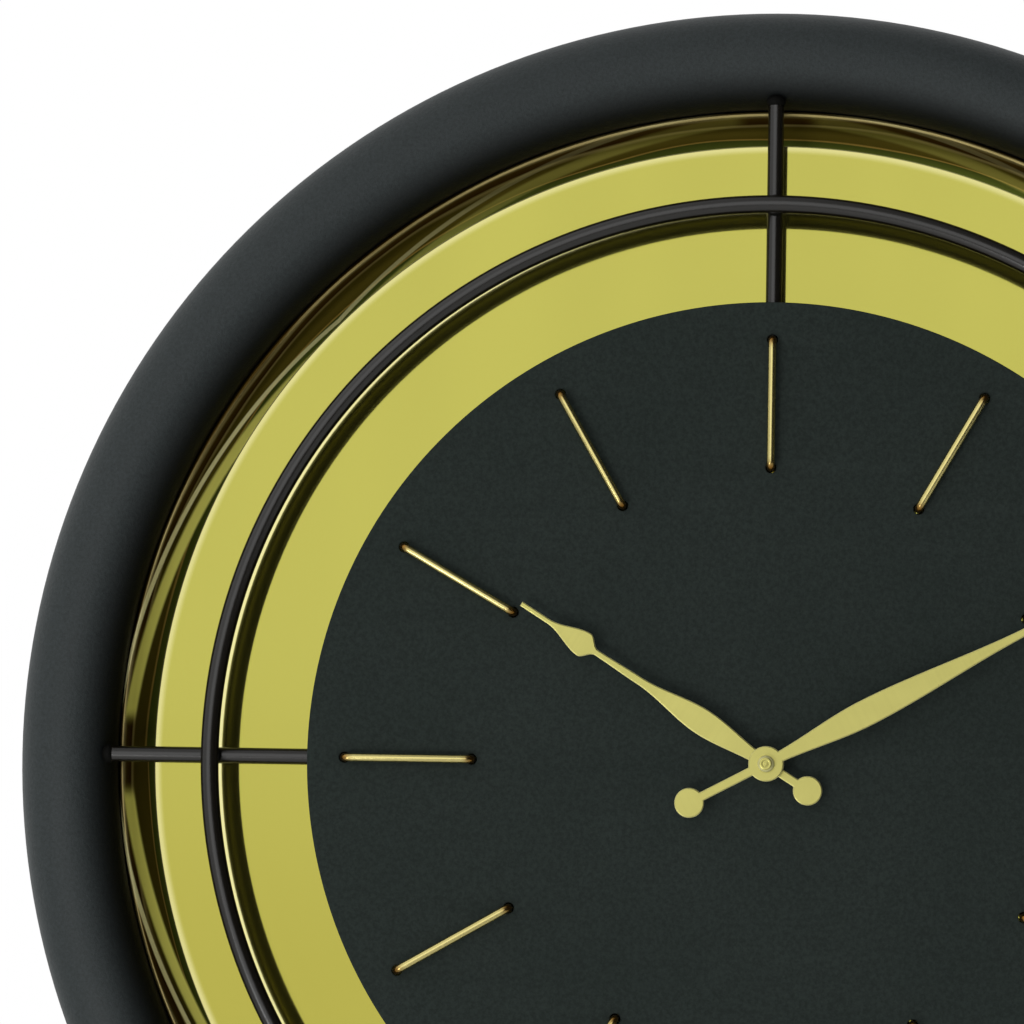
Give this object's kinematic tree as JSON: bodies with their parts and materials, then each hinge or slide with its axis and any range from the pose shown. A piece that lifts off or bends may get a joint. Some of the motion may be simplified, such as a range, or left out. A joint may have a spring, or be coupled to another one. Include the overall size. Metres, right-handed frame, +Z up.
{
  "type": "pendulum wall clock",
  "caption": "Round wall clock with a black tube frame, gold mirror dish, floating black dial, gold staple markers and spade hands, and a pendulum below.",
  "frame": {"origin": "on the axis of the hands, at the back face of the rear cover, which is the wall plane", "axes": "+Z up, +Y into the wall, so the dial faces -Y, +X to the right of a person who looks at the dial"},
  "size_m": [0.603, 0.0701, 0.7235],
  "materials": {
    "frame_black": "matt fine-textured powder coat",
    "dial_black": "matt fine-grained",
    "rod_black": "satin",
    "gold_mirror": "mirror polished",
    "gold_wire": "polished",
    "hand_gold": "satin gold",
    "brass": "machined",
    "pan_black": "matt",
    "case_plastic": "fine spark texture",
    "gear_plastic": "moulded",
    "steel": "plated",
    "copper": "enamelled copper winding",
    "rubber": "matt",
    "board_green": "solder resist",
    "battery_sleeve": "gloss sleeve"
  },
  "bodies": {
    "clock_body": {"outer_frame": "frame_black", "gold_dish": "gold_mirror", "wire_ring": "rod_black", "dial_disc": "dial_black", "centre_bush": "brass", "dial_spacer": "brass", "fixing_nut": "brass", "movement_case": "case_plastic", "movement_cover": "case_plastic", "rotor": "steel", "stator": "steel", "coil": "copper", "circuit_board": "board_green", "drive_coil": "copper", "battery": "battery_sleeve", "contact_positive": "steel", "contact_negative": "steel", "rear_pan": "pan_black", "hanger_plate": "steel", "rear_cover": "pan_black", "wall_bumper_1": "rubber", "wall_bumper_2": "rubber", "pivot_pin": "brass", "spoke_12": "rod_black", "spoke_3": "rod_black", "spoke_6": "rod_black", "spoke_9": "rod_black", "marker_1": "gold_wire", "marker_2": "gold_wire", "marker_3": "gold_wire", "marker_4": "gold_wire", "marker_5": "gold_wire", "marker_6": "gold_wire", "marker_7": "gold_wire", "marker_8": "gold_wire", "marker_9": "gold_wire", "marker_10": "gold_wire", "marker_11": "gold_wire", "marker_12": "gold_wire", "cover_screw_1": "steel", "cover_screw_2": "steel", "cover_screw_3": "steel", "cover_screw_4": "steel"},
    "minute_train": {"minute_arbor": "brass", "cannon_pinion": "brass", "minute_hand": "hand_gold", "hand_nut": "hand_gold"},
    "hour_train": {"hour_wheel": "gear_plastic", "hour_hand": "hand_gold"},
    "motion_work": {"motion_wheel": "gear_plastic"},
    "setting_stem": {"set_knob": "case_plastic"},
    "third_train": {"third_wheel": "gear_plastic"},
    "fourth_train": {"fourth_wheel": "gear_plastic"},
    "pendulum": {"pendulum_arm": "case_plastic", "arm_magnet": "steel", "pendulum_rod": "brass", "pendulum_bob": "gold_mirror", "bob_back": "rod_black", "rating_nut": "brass"},
    "door": {"battery_door": "pan_black"}
  },
  "joints": [
    {"name": "minute_turn", "type": "hinge", "parent": "clock_body", "child": "minute_train", "pos_m": [0, 0, 0], "axis": [0, 1, 0], "continuous": true},
    {"name": "hour_turn", "type": "hinge", "parent": "clock_body", "child": "hour_train", "pos_m": [0, 0, 0], "axis": [0, 1, 0], "continuous": true},
    {"name": "motion_turn", "type": "hinge", "parent": "clock_body", "child": "motion_work", "pos_m": [0.012, 0, 0], "axis": [0, 1, 0], "continuous": true},
    {"name": "knob_turn", "type": "hinge", "parent": "clock_body", "child": "setting_stem", "pos_m": [0.0195, 0, -0.01299], "axis": [0, 1, 0], "continuous": true},
    {"name": "third_turn", "type": "hinge", "parent": "clock_body", "child": "third_train", "pos_m": [-0.0099, 0, 0.0099], "axis": [0, 1, 0], "continuous": true},
    {"name": "fourth_turn", "type": "hinge", "parent": "clock_body", "child": "fourth_train", "pos_m": [-0.0099, 0, 0.0195], "axis": [0, 1, 0], "continuous": true},
    {"name": "pendulum_swing", "type": "hinge", "parent": "clock_body", "child": "pendulum", "pos_m": [0, 0, 0.058], "axis": [0, 1, 0], "range_deg": [-4, 4]},
    {"name": "battery_door_swing", "type": "hinge", "parent": "clock_body", "child": "door", "pos_m": [0, 0, -0.0465], "axis": [-1, 0, 0], "range_deg": [0, 110]}
  ],
  "couplings": [
    {"joint": "hour_turn", "follows": "minute_turn", "ratio": 0.083333},
    {"joint": "motion_turn", "follows": "minute_turn", "ratio": -0.33333},
    {"joint": "knob_turn", "follows": "minute_turn", "ratio": 0.5},
    {"joint": "third_turn", "follows": "minute_turn", "ratio": -6},
    {"joint": "fourth_turn", "follows": "minute_turn", "ratio": 30}
  ]
}
